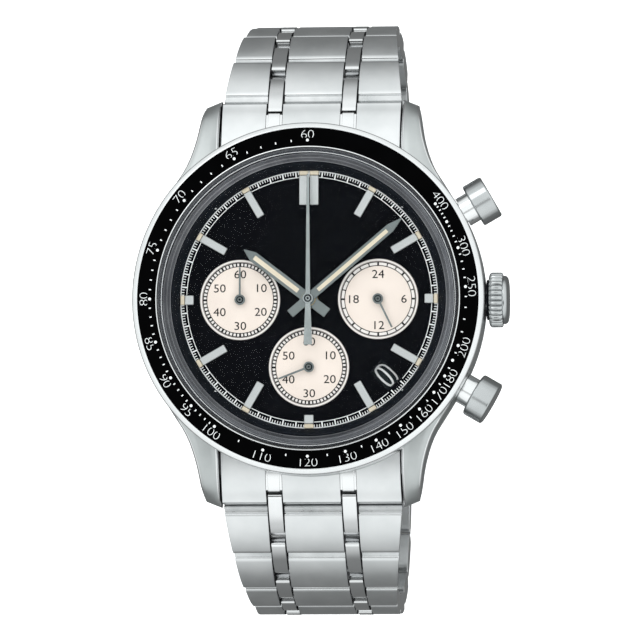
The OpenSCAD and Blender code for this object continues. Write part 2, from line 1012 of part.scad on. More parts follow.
module clasp_button(s) {
    h = clasp_hinge;
    color(steel)
        translate([s * (clasp_w / 2 - 1.5), button_y, h[1] - 0.9])
            rotate([0, s * 90, 0]) {
                cylinder(r = 1.45, h = 2.1, $fn = 32);
                translate([0, 0, -0.9])
                    cylinder(r = 0.7, h = 1, $fn = 24);
            }
}

module clasp_button_right() {
    clasp_button(1);
}

module clasp_button_left() {
    clasp_button(-1);
}

mid_case();
case_back();
gaskets();
bezel_ring();
tachymeter_insert();
crystal();
rehaut_ring();
dial();
hour_markers();
movement_ring();
main_plate();
train_bridge();
coil_blocks();
battery();
crown_tube();
pusher_tubes();
spring_bars();
end_link_12();
end_link_6();
hour_hand();
hour_wheel();
minute_hand();
cannon_pinion();
minute_wheel();
chrono_seconds_hand();
chrono_seconds_wheel();
minute_counter_hand();
minute_counter_wheel();
hours24_hand();
hours24_wheel();
small_seconds_hand();
small_seconds_wheel();
date_ring();
crown();
stem();
setting_lever();
pusher_start();
pusher_reset();
row_12(0);  // row_12_1
row_12(1);  // row_12_2
row_12(2);  // row_12_3
row_12(3);  // row_12_4
row_12(4);  // row_12_5
row_12(5);  // row_12_6
row_12(6);  // row_12_7
row_12(7);  // row_12_8
row_6(0);  // row_6_1
row_6(1);  // row_6_2
row_6(2);  // row_6_3
row_6(3);  // row_6_4
row_6(4);  // row_6_5
row_6(5);  // row_6_6
row_6(6);  // row_6_7
row_6(7);  // row_6_8
clasp_cover();
clasp_blade_long();
clasp_blade_short();
clasp_button_left();
clasp_button_right();
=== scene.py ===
import json
import math

import bmesh
import bpy
from mathutils import Matrix, Vector


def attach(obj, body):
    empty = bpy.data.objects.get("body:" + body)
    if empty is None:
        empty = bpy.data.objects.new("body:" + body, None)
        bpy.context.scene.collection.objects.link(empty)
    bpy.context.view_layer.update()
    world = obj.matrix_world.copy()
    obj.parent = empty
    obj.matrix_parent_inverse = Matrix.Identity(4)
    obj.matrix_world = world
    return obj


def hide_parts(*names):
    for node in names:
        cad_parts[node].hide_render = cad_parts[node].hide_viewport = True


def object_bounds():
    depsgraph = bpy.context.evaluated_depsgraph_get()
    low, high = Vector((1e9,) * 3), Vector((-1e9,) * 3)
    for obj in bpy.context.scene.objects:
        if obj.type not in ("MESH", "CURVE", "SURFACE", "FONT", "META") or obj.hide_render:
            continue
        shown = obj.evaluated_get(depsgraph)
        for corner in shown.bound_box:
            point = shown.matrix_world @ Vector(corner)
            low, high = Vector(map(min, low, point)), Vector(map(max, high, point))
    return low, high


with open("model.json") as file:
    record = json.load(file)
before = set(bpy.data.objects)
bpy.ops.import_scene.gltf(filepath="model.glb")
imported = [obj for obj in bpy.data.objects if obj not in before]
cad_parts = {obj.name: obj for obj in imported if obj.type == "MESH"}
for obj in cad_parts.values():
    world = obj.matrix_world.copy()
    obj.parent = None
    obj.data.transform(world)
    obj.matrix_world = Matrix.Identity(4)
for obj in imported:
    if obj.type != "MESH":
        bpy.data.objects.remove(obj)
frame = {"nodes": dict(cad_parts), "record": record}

cad_low, cad_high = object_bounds()
MM = 0.001
PRINT_THICK = 0.004
scene = bpy.context.scene
scene.view_settings.view_transform = "Standard"

# ------------------------------------------------------------------ camera
CAMERA_RIGHT = math.radians(5.0)
CAMERA_BELOW = math.radians(5.0)
CAMERA_FAR = 0.70
VIEW_WIDTH = 0.0743
AIM = Vector((0.00131, -0.00244, 0.008))


def make_camera():
    towards = Vector((
        math.sin(CAMERA_RIGHT),
        -math.sin(CAMERA_BELOW) * math.cos(CAMERA_RIGHT),
        math.cos(CAMERA_BELOW) * math.cos(CAMERA_RIGHT),
    ))
    right = Vector((0, 1, 0)).cross(towards).normalized()
    up = towards.cross(right)
    data = bpy.data.cameras.new("camera")
    data.sensor_width = 36
    data.lens = 36 * CAMERA_FAR / VIEW_WIDTH
    data.clip_start = 0.05
    data.clip_end = 20
    camera = bpy.data.objects.new("camera", data)
    scene.collection.objects.link(camera)
    place = AIM + towards * CAMERA_FAR
    camera.matrix_world = Matrix((
        (right.x, up.x, towards.x, place.x),
        (right.y, up.y, towards.y, place.y),
        (right.z, up.z, towards.z, place.z),
        (0, 0, 0, 1),
    ))
    scene.camera = camera


make_camera()


# --------------------------------------------------------------- materials
def new_material(name):
    mat = bpy.data.materials.new(name)
    mat.use_nodes = True
    tree = mat.node_tree
    shader = tree.nodes["Principled BSDF"]
    return mat, tree, shader


def noise(tree, scale, stretch=(1, 1, 1), detail=3.0):
    """A noise texture in the row frame's own millimetres, stretched along the axes."""
    coord = tree.nodes.new("ShaderNodeTexCoord")
    mapping = tree.nodes.new("ShaderNodeMapping")
    mapping.inputs["Scale"].default_value = [scale * s / MM for s in stretch]
    tex = tree.nodes.new("ShaderNodeTexNoise")
    tex.inputs["Scale"].default_value = 1.0
    tex.inputs["Detail"].default_value = detail
    tex.inputs["Roughness"].default_value = 0.55
    tree.links.new(coord.outputs["Object"], mapping.inputs["Vector"])
    tree.links.new(mapping.outputs["Vector"], tex.inputs["Vector"])
    return tex.outputs["Fac"]


def spread(tree, value, low, high):
    """Stretches the middle of a noise to run from low to high."""
    node = tree.nodes.new("ShaderNodeMapRange")
    node.inputs["From Min"].default_value = 0.3
    node.inputs["From Max"].default_value = 0.7
    node.inputs["To Min"].default_value = low
    node.inputs["To Max"].default_value = high
    tree.links.new(value, node.inputs["Value"])
    return node.outputs["Result"]


def tint(tree, value, dark, light, socket):
    node = tree.nodes.new("ShaderNodeMix")
    node.data_type = "RGBA"
    node.inputs["A"].default_value = (*dark, 1)
    node.inputs["B"].default_value = (*light, 1)
    tree.links.new(value, node.inputs["Factor"])
    tree.links.new(node.outputs["Result"], socket)


def bump(tree, value, strength, depth, shader):
    node = tree.nodes.new("ShaderNodeBump")
    node.inputs["Strength"].default_value = strength
    node.inputs["Distance"].default_value = depth * MM
    tree.links.new(value, node.inputs["Height"])
    tree.links.new(node.outputs["Normal"], shader.inputs["Normal"])


def metal(name, dark, light, rough, grain, stretch=(1, 1, 1), strength=0.2, depth=0.01):
    """Metal with tonal variation, a roughness that wanders and a fine grain as bump."""
    mat, tree, shader = new_material(name)
    shader.inputs["Metallic"].default_value = 1.0
    fine = noise(tree, grain, stretch, detail=4)
    broad = noise(tree, 0.25, (1, 1, 1), detail=3)
    tint(tree, spread(tree, broad, 0, 1), dark, light, shader.inputs["Base Color"])
    mixed = tree.nodes.new("ShaderNodeMath")
    mixed.operation = "MULTIPLY_ADD"
    mixed.inputs[1].default_value = 0.6
    tree.links.new(fine, mixed.inputs[0])
    half = tree.nodes.new("ShaderNodeMath")
    half.operation = "MULTIPLY"
    half.inputs[1].default_value = 0.4
    tree.links.new(broad, half.inputs[0])
    tree.links.new(half.outputs[0], mixed.inputs[2])
    tree.links.new(spread(tree, mixed.outputs[0], *rough), shader.inputs["Roughness"])
    bump(tree, fine, strength, depth, shader)
    return mat


def plain(name, dark, light, rough, grain, strength=0.1):
    """Paint, print, rubber or plastic with a little variation and a fine surface."""
    mat, tree, shader = new_material(name)
    fine = noise(tree, grain, detail=3)
    broad = noise(tree, 0.4, detail=2)
    tint(tree, spread(tree, broad, 0, 1), dark, light, shader.inputs["Base Color"])
    tree.links.new(spread(tree, fine, *rough), shader.inputs["Roughness"])
    bump(tree, fine, strength, 0.01, shader)
    return mat


def glass(name, alpha, rough, dark, light):
    """Thin glass: mostly see-through, with a faint tint and its own gloss."""
    mat, tree, shader = new_material(name)
    fine = noise(tree, 2.0, detail=2)
    tint(tree, fine, dark, light, shader.inputs["Base Color"])
    tree.links.new(spread(tree, fine, *rough), shader.inputs["Roughness"])
    shader.inputs["Alpha"].default_value = alpha
    shader.inputs["IOR"].default_value = 1.45
    mat.surface_render_method = "BLENDED"
    return mat


def dull(mat, level):
    """Black surfaces throw back very little, so they stay black under the bright dome."""
    mat.node_tree.nodes["Principled BSDF"].inputs["Specular IOR Level"].default_value = level
    return mat


BRUSHED = metal("brushed_steel", (0.60, 0.615, 0.62), (0.68, 0.69, 0.695),
                (0.27, 0.38), 9, (1, 0.02, 0.02), 0.35, 0.006)
CASE_BRUSHED = metal("case_steel", (0.42, 0.44, 0.44), (0.48, 0.50, 0.50),
                     (0.36, 0.46), 7, (1, 1, 1), 0.05, 0.003)
POLISHED = metal("polished_steel", (0.70, 0.71, 0.715), (0.76, 0.765, 0.77),
                 (0.07, 0.13), 1.2, strength=0.05, depth=0.004)
PUSHER_STEEL = metal("pusher_steel", (0.42, 0.435, 0.44), (0.48, 0.495, 0.5),
                     (0.12, 0.18), 2, (1, 1, 1), 0.04, 0.003)
LIP = metal("lip_steel", (0.42, 0.435, 0.44), (0.62, 0.63, 0.635),
            (0.22, 0.4), 7, (1, 1, 1), 0.5, 0.012)
RIM = metal("rim_steel", (0.68, 0.69, 0.695), (0.74, 0.75, 0.755),
            (0.18, 0.26), 3, (1, 1, 0.1), 0.02, 0.002)
INNER_STEEL = metal("inner_steel", (0.5, 0.51, 0.52), (0.6, 0.6, 0.61), (0.28, 0.4), 4, strength=0.1)
SEAT_STEEL = metal("seat_steel", (0.10, 0.105, 0.115), (0.19, 0.195, 0.21),
                   (0.25, 0.4), 3, (1, 1, 0.2), 0.3, 0.01)
SEAT_LIGHT = metal("seat_light_steel", (0.2, 0.205, 0.22), (0.3, 0.305, 0.32),
                   (0.25, 0.4), 3, (1, 1, 0.2), 0.2, 0.01)
# Very dark steel used as painted shade on the walls of the gaps: the bracelet's slot walls, the end link's
# ends and the lugs' inner sides.
SHADE_PAINTED_STEEL = metal("shade_painted_steel", (0.05, 0.055, 0.06), (0.1, 0.105, 0.11), (0.3, 0.45), 5, strength=0.1)
HAND_STEEL = metal("hand_steel", (0.16, 0.185, 0.185), (0.21, 0.235, 0.235),
                   (0.3, 0.4), 6, (1, 1, 1), 0.05, 0.002)
PALE_HAND = metal("pale_hand_steel", (0.26, 0.29, 0.29), (0.36, 0.39, 0.39),
                  (0.2, 0.3), 6, (1, 1, 1), 0.04, 0.002)
MARKER = metal("marker_steel", (0.47, 0.49, 0.49), (0.53, 0.55, 0.55),
               (0.3, 0.38), 3, (1, 1, 0.2), 0.02, 0.001)
BRASS = metal("brass", (0.55, 0.40, 0.17), (0.72, 0.55, 0.26), (0.22, 0.36), 4, strength=0.12)
COPPER = metal("copper_coil", (0.42, 0.17, 0.07), (0.62, 0.28, 0.12),
               (0.3, 0.45), 12, (1, 1, 1), 0.4, 0.02)
DIAL_BLACK = dull(plain("dial_black", (0.0012, 0.0015, 0.0025), (0.002, 0.0025, 0.004),
                        (0.35, 0.45), 6, 0.03), 0.02)
INSERT_BLACK = dull(plain("insert_black", (0.0005, 0.0005, 0.0006), (0.001, 0.001, 0.0012),
                          (0.3, 0.4), 5, 0.03), 0.01)
FLANGE_BLACK = dull(plain("flange_black", (0.003, 0.0045, 0.007), (0.005, 0.007, 0.011),
                          (0.4, 0.5), 5, 0.04), 0.08)
WHITE_PRINT = plain("white_print", (0.86, 0.88, 0.88), (0.92, 0.94, 0.94), (0.5, 0.6), 10)
BLACK_PRINT = dull(plain("black_print", (0.008, 0.008, 0.009), (0.014, 0.014, 0.015),
                         (0.5, 0.6), 10), 0.05)
CREAM = plain("subdial_cream", (0.84, 0.735, 0.66), (0.88, 0.775, 0.70), (0.5, 0.6), 3, 0.06)
CREAM_TRACK = plain("subdial_track", (0.82, 0.78, 0.75), (0.86, 0.82, 0.79), (0.5, 0.6), 5, 0.05)
CREAM_RIM = plain("subdial_rim", (0.36, 0.32, 0.30), (0.42, 0.38, 0.355), (0.4, 0.5), 5, 0.05)
LUME = plain("lume", (0.66, 0.58, 0.44), (0.74, 0.66, 0.52), (0.6, 0.75), 9, 0.2)
DATE_BLACK = dull(plain("date_disc", (0.009, 0.014, 0.017), (0.013, 0.019, 0.022), (0.5, 0.6), 6), 0.1)
RUBBER = plain("gasket_rubber", (0.012, 0.012, 0.012), (0.025, 0.025, 0.025), (0.6, 0.75), 6, 0.3)
PLASTIC = plain("movement_plastic", (0.58, 0.58, 0.55), (0.68, 0.68, 0.65), (0.4, 0.55), 5, 0.15)
CRYSTAL = glass("crystal_glass", 0.02, (0.01, 0.02), (0.02, 0.022, 0.025), (0.03, 0.032, 0.035))
CRYSTAL_EDGE = glass("crystal_edge", 0.12, (0.08, 0.14), (0.3, 0.32, 0.36), (0.42, 0.44, 0.48))

SLOT_MATERIAL = {
    "brushed_steel": BRUSHED, "polished_steel": POLISHED, "hand_steel": HAND_STEEL,
    "plain_steel": INNER_STEEL, "gloss_black": DIAL_BLACK, "crystal_glass": CRYSTAL,
    "gasket_rubber": RUBBER, "movement_plastic": PLASTIC, "brass": BRASS, "copper_coil": COPPER,
}
for part in frame["record"]["subparts"]:
    node = frame["nodes"][part["node"]]
    node.data.materials.clear()
    node.data.materials.append(SLOT_MATERIAL[part["material_slot"]])


# ---------------------------------------------------------------- building
def finish_mesh(name, bm, mats, body, replaces=(), slot=None, sharp=35, bevel=0.0, segments=2):
    mesh = bpy.data.meshes.new(name)
    bmesh.ops.recalc_face_normals(bm, faces=bm.faces)
    bm.to_mesh(mesh)
    bm.free()
    for mat in mats:
        mesh.materials.append(mat)
    for face in mesh.polygons:
        face.use_smooth = True
    mesh.set_sharp_from_angle(angle=math.radians(sharp))
    obj = bpy.data.objects.new(name, mesh)
    scene.collection.objects.link(obj)
    if bevel:
        mod = obj.modifiers.new("bevel", "BEVEL")
        mod.width = bevel * MM
        mod.segments = segments
        mod.limit_method = "ANGLE"
        mod.angle_limit = math.radians(sharp)
        mod.harden_normals = True
    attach(obj, body)
    if replaces:
        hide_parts(*replaces)


def supported(profile):
    """Adds points close to both ends of each long stretch, so smooth shading keeps it flat."""
    out = []
    for (r0, z0), (r1, z1) in zip(profile, profile[1:] + profile[:1]):
        out.append((r0, z0))
        far = math.hypot(r1 - r0, z1 - z0)
        if far > 0.35:
            for t in (0.05 / far, 1 - 0.05 / far):
                out.append((r0 + (r1 - r0) * t, z0 + (z1 - z0) * t))
    return out


def lathe_into(bm, profile, segments=160, centre=(0, 0), matrix=None, mat=0):
    """Turns a closed (radius, height) outline in mm round Z; matrix then places it."""
    rings = []
    for i in range(segments):
        a = 2 * math.pi * i / segments
        ring = []
        for r, z in profile:
            p = Vector((centre[0] + r * math.cos(a), centre[1] + r * math.sin(a), z))
            ring.append(bm.verts.new((matrix @ p if matrix else p) * MM))
        rings.append(ring)
    count = len(profile)
    for i in range(segments):
        for j in range(count):
            k = (j + 1) % count
            a, b = rings[i], rings[(i + 1) % segments]
            if profile[j][0] < 1e-6 and profile[k][0] < 1e-6:
                continue
            face = bm.faces.new((a[j], b[j], b[k], a[k]))
            face.material_index = mat
    bmesh.ops.remove_doubles(bm, verts=bm.verts, dist=1e-7)


def lathe(name, profile, mats, body, segments, matrix=None, mat_of=None, **kw):
    bm = bmesh.new()
    lathe_into(bm, profile, segments, matrix=matrix)
    if mat_of:
        for face in bm.faces:
            face.material_index = mat_of(face.calc_center_median() / MM)
    finish_mesh(name, bm, mats, body, **kw)


def plate_into(bm, outline, z0, z1, matrix=None, mat=0):
    """A flat plate from a closed (x, y) outline in mm, between two heights."""
    m = matrix or Matrix.Identity(4)
    low = [bm.verts.new((m @ Vector((x, y, z0))) * MM) for x, y in outline]
    high = [bm.verts.new((m @ Vector((x, y, z1))) * MM) for x, y in outline]
    faces = [bm.faces.new(low[::-1]), bm.faces.new(high)]
    for i in range(len(outline)):
        k = (i + 1) % len(outline)
        faces.append(bm.faces.new((low[i], low[k], high[k], high[i])))
    for face in faces:
        face.material_index = mat


def profile_into(bm, outline, x0, x1, place, mat_of=None, caps=(0, 0)):
    """Extrudes an (s, n) outline across x. x0 and x1 are functions of s; place maps s, n to y, z."""
    sides = []
    for x in (x0, x1):
        ring = []
        for s, n in outline:
            y, z = place(s, n)
            ring.append(bm.verts.new(Vector((x(s), y, z)) * MM))
        sides.append(ring)
    a, b = sides
    for face, mat in zip((bm.faces.new(a), bm.faces.new(b[::-1])), caps):
        face.material_index = mat
    for i in range(len(outline)):
        k = (i + 1) % len(outline)
        face = bm.faces.new((a[i], b[i], b[k], a[k]))
        if mat_of:
            face.material_index = mat_of(outline[i], outline[k])


def clockwise(angle, centre=(0, 0)):
    return Matrix.Translation((centre[0], centre[1], 0)) @ Matrix.Rotation(-math.radians(angle), 4, "Z")


def circle(radius, count):
    turn = 2 * math.pi / count
    return [(radius * math.cos(turn * i), radius * math.sin(turn * i)) for i in range(count)]


def ring_into(bm, r0, r1, z, segments, centre=(0, 0)):
    """A flat printed ring."""
    top = z + PRINT_THICK
    lathe_into(bm, [(r0, z), (r1, z), (r1, top), (r0, top)], segments, centre)


def figures_into(bm, text, height, matrix, z, width, thin=0.0):
    """Printed figures from the built-in font, centred on the matrix's origin, in mm."""
    curve = bpy.data.curves.new("figures", "FONT")
    curve.body = text
    curve.align_x = "CENTER"
    curve.align_y = "CENTER"
    curve.size = 1.0
    curve.offset = -thin
    curve.resolution_u = 4
    holder = bpy.data.objects.new("figures", curve)
    scene.collection.objects.link(holder)
    bpy.context.view_layer.update()
    graph = bpy.context.evaluated_depsgraph_get()
    mesh = bpy.data.meshes.new_from_object(holder.evaluated_get(graph))
    top = max(v.co.y for v in mesh.vertices)
    bottom = min(v.co.y for v in mesh.vertices)
    middle = (top + bottom) / 2
    scale = height / (top - bottom)
    verts = []
    for v in mesh.vertices:
        p = matrix @ Vector((v.co.x * scale * width, (v.co.y - middle) * scale, z))
        verts.append(bm.verts.new(p * MM))
    for poly in mesh.polygons:
        bm.faces.new([verts[i] for i in poly.vertices])
    bpy.data.objects.remove(holder)
    bpy.data.curves.remove(curve)
    bpy.data.meshes.remove(mesh)


def print_mesh(name, bm, mats, body):
    """Flat prints keep their upward normals, so they aren't recalculated."""
    for face in bm.faces:
        face.normal_update()
        if face.normal.z < 0:
            face.normal_flip()
    mesh = bpy.data.meshes.new(name)
    bm.to_mesh(mesh)
    bm.free()
    for mat in mats:
        mesh.materials.append(mat)
    obj = bpy.data.objects.new(name, mesh)
    scene.collection.objects.link(obj)
    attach(obj, body)


HEAD = "watch_head"

# -------------------------------------------------------------------- case
CASE_R = 20.5
RIM_LOW = 7.3
BACK_LOW = 1.0
LUG_IN = 10.7
LUG_FLANK = [
    (10.6, 17.5), (12.5, 16.35), (14, 15.4), (15, 14.76), (16, 14.25), (17, 13.86), (18, 13.55), (19, 13.29),
    (20, 13.1), (21, 12.95), (22, 12.82), (23, 12.68), (24, 12.5),
]
LUG_TOP = [
    (10.6, 8.16), (14, 8.05), (17, 7.48), (20, 6.45), (22, 5.2), (23.3, 3.85), (23.7, 3.15),
    (23.86, 2.5), (23.9, 2.1),
]
LUG_LOW = [
    (10.6, 1.0), (16, 1.0), (18.5, 0.62), (21.5, 0.4), (23.3, 0.75), (23.7, 1.05), (23.86, 1.45), (23.9, 1.8),
]
LUG_STEPS = [
    10.6, 12.5, 13.5, 14.3, 15, 15.8, 16.6, 17.4, 18.2, 19, 19.8, 20.6, 21.4, 22, 22.5, 22.9, 23.3,
    23.55, 23.75, 23.86, 23.9,
]


def smooth_at(table, t):
    """Catmull-Rom value of a table at t."""
    last = len(table) - 1
    i = max(k for k in range(last) if table[k][0] <= t or k == 0)
    x0, x1 = table[i][0], table[i + 1][0]
    y = [table[max(0, min(last, i + k))][1] for k in (-1, 0, 1, 2)]
    x = [table[max(0, min(last, i + k))][0] for k in (-1, 0, 1, 2)]
    m0 = (y[2] - y[0]) / max(x[2] - x[0], 1e-6) * (x1 - x0)
    m1 = (y[3] - y[1]) / max(x[3] - x[1], 1e-6) * (x1 - x0)
    u = (t - x0) / (x1 - x0)
    return (
        (2 * u ** 3 - 3 * u * u + 1) * y[1] + (u ** 3 - 2 * u * u + u) * m0
        + (3 * u * u - 2 * u ** 3) * y[2] + (u ** 3 - u * u) * m1
    )


def lug_into(bm, sx, sy):
    """One lug, as rings along y; its edges are polished and its inner side is painted dark as shade."""
    rings = []
    for y in LUG_STEPS:
        x, top, low = smooth_at(LUG_FLANK, y), smooth_at(LUG_TOP, y), smooth_at(LUG_LOW, y)
        deep = max(top - low, 0.2)
        edge = min(1, deep / 3)
        slant = 0.4 * max(0, min(1, (y - 21) / 2.6)) ** 1.5
        wide = x - LUG_IN
        ring = [
            (LUG_IN, low + 0.1 * edge), (LUG_IN, top - 0.3 * edge),
            (LUG_IN + 0.08 * edge, top - 0.12 * edge), (LUG_IN + 0.24 * edge, top),
            (LUG_IN + 0.35 * wide, top + 0.02), (LUG_IN + 0.7 * wide, top - 0.01),
            (x - 0.24 * edge, top - 0.09 * edge), (x - 0.08 * edge, top - 0.22 * edge),
            (x, top - 0.42 * edge), (x, top - 0.55 * deep), (x - 0.05, low + 0.25 * deep),
            (x - 0.3 * edge, low + 0.08 * deep), (x - 0.7 * edge, low),
        ]
        rings.append([(px, y - slant * (px - LUG_IN), pz) for px, pz in ring])
    verts = [[bm.verts.new(Vector((sx * x, sy * y, z)) * MM) for x, y, z in ring] for ring in rings]
    count = len(rings[0])
    for i in range(len(rings) - 1):
        for j in range(count):
            k = (j + 1) % count
            face = bm.faces.new((verts[i][j], verts[i][k], verts[i + 1][k], verts[i + 1][j]))
            # Face 0 is the inner side, painted dark as shade in the gap to the end link; faces 1, 2, 6 and 7
            # are the polished edges.
            if j in (0, 1, 2, 6, 7):
                face.material_index = 1 if j else 3
    bm.faces.new(verts[0][::-1])
    bm.faces.new(verts[-1])


def make_case():
    bm = bmesh.new()
    lathe_into(bm, [
        (16.1, BACK_LOW), (19.0, BACK_LOW), (20.1, 2.2), (20.4, 3.0), (CASE_R, 3.8), (CASE_R, RIM_LOW),
        (CASE_R - 0.04, 7.7), (CASE_R - 0.16, 8.1), (20.2, 8.36), (16.1, 8.36),
    ], 200)
    for face in bm.faces:
        face.material_index = 2 if face.calc_center_median().z > RIM_LOW * MM else 0
    for sx in (-1, 1):
        for sy in (-1, 1):
            lug_into(bm, sx, sy)
    finish_mesh("case_body", bm, [CASE_BRUSHED, POLISHED, RIM, SHADE_PAINTED_STEEL], HEAD, replaces=("mid_case",),
                slot="brushed_steel", sharp=38)


make_case()

# ---------------------------------------------------------- bezel and glass
INSERT_TOP = 9.75
INSERT_INNER_TOP = 9.83
INSERT_IN, INSERT_OUT = 17.76, 19.82


def make_bezel():
    lathe("bezel_steel", [
        (17.6, 8.42), (20.3, 8.42), (20.3, 8.62), (20.44, 8.7), (20.5, 8.85), (20.5, 9.36), (20.46, 9.47),
        (20.36, 9.56), (20.1, 9.7), (19.94, 9.79), (19.9, 9.8), (19.87, 9.78), (19.87, 9.33), (17.71, 9.45),
        (17.71, 9.87), (17.66, 9.91), (17.6, 9.91),
    ], [RIM], HEAD, 220, replaces=("bezel_ring",), slot="polished_steel", sharp=50)
    lathe("tachymeter_plate", [
        (17.73, 9.47), (19.85, 9.35), (19.85, 9.72), (INSERT_OUT, INSERT_TOP),
        (INSERT_IN, INSERT_INNER_TOP), (17.73, 9.8),
    ], [INSERT_BLACK], HEAD, 220, replaces=("tachymeter_insert",), slot="gloss_black")


def insert_z(r):
    """Height of the insert's face, a hair above it, at a radius."""
    across = (r - INSERT_IN) / (INSERT_OUT - INSERT_IN)
    return INSERT_INNER_TOP + (INSERT_TOP - INSERT_INNER_TOP) * across + 0.012


GLYPH_STEP = 2.45
DOT_R, FIGURE_R = 18.39, 19.1
TACHY_TURN = 360 * 60  # degrees past 12 o'clock, times the speed


def make_tachymeter():
    bm = bmesh.new()
    dots = list(range(60, 100, 5)) + list(range(100, 200, 10)) + [200, 250, 300, 350, 400]
    for i, speed in enumerate(dots):
        m = clockwise(TACHY_TURN / speed)
        z = insert_z(DOT_R)
        plate_into(bm, [(x, y + DOT_R) for x, y in circle(0.17, 16)], z, z + PRINT_THICK, m)
        if i + 1 < len(dots):
            parts = 2 if 100 <= speed < 200 else 5
            for k in range(1, parts):
                tick = speed + (dots[i + 1] - speed) * k / parts
                w = 0.065
                plate_into(bm, [(-w, 18.27), (w, 18.27), (w, 18.52), (-w, 18.52)], z, z + PRINT_THICK,
                           clockwise(TACHY_TURN / tick))
        if speed in (190, 350):
            continue
        angle = TACHY_TURN / speed
        turned = 97 < angle < 262
        digits = str(speed)
        for k, digit in enumerate(digits):
            off = (k - (len(digits) - 1) / 2) * GLYPH_STEP
            m = clockwise(angle + (-off if turned else off)) @ Matrix.Translation((0, FIGURE_R, 0))
            if turned:
                m = m @ Matrix.Rotation(math.pi, 4, "Z")
            figures_into(bm, digit, 0.93, m, insert_z(FIGURE_R) + 0.003, width=1.22, thin=0.026)
    print_mesh("tachymeter_print", bm, [WHITE_PRINT], HEAD)


SEAT_STEP = 0.135
SEAT_IN, SEAT_RINGS = 16.03, 7


def make_crystal():
    top = [(17.2, 11.55), (17.05, 11.78), (16.6, 11.98), (15.6, 12.1), (12, 12.25), (6, 12.37), (0, 12.4)]
    under = [(0, 11.3), (6, 11.27), (12, 11.12), (15.0, 10.95), (15.5, 10.8), (15.75, 10.4)]
    outline = [(15.9, 8.45), (17.4, 8.45), (17.4, 11.2)] + top + under
    lathe("crystal_box", outline, [CRYSTAL, CRYSTAL_EDGE], HEAD, 180,
          mat_of=lambda c: 1 if c.xy.length > 15.85 and c.z < 11.9 else 0,
          replaces=("crystal",), slot="crystal_glass", sharp=40)
    # fine steps seen through the wall of the glass
    steps = [(16.02, 8.5)]
    for i in range(SEAT_RINGS):
        r = SEAT_IN + i * SEAT_STEP
        lift = 0.05 * (i % 3)
        steps += [(r, 8.86 + lift), (r + 0.02, 8.96 + lift), (r + 0.09, 8.94 + lift), (r + 0.105, 8.8 + lift)]
    steps += [
        (16.99, 8.8), (17.06, 8.8), (17.08, 9.14), (17.14, 9.18), (17.2, 9.14), (17.22, 8.8),
        (17.4, 8.8), (17.41, 8.95), (17.46, 8.95), (17.47, 8.8), (17.57, 8.8), (17.57, 8.5),
    ]

    def seat_mat(c):
        r = c.xy.length
        if 17.07 < r < 17.21:
            return 2
        if 17.405 < r < 17.465:
            return 3
        ring, rest = divmod(r - SEAT_IN, SEAT_STEP)
        # The low grooves between the steps take the black flange material as painted shade; the flats outside
        # the steps are black as well.
        if not 0 <= ring < SEAT_RINGS or rest > 0.1:
            return 1
        return 3 if ring in (0, 3, 6) else 0

    lathe("crystal_seat", steps, [SEAT_STEEL, FLANGE_BLACK, RIM, SEAT_LIGHT], HEAD, 200, slot="plain_steel",
          sharp=20, mat_of=seat_mat)


make_bezel()
make_tachymeter()
make_crystal()

# -------------------------------------------------------------------- dial
DIAL_TOP = 7.65
SUB_TOP = DIAL_TOP - 0.12
LEFT, RIGHT, LOW = (-8.05, 0), (8.05, 0), (0, -7.9)
HOURS24_FIGURES = [("24", 0, 2.92), ("6", 3.0, 0), ("12", 0, -3.05), ("18", -2.95, 0)]
SIXTY_FIGURES = [
    ("60", 0, 3.0), ("10", 2.4, 1.37), ("20", 2.4, -1.4), ("30", 0, -3.03),
    ("40", -2.4, -1.4), ("50", -2.4, 1.37),
]


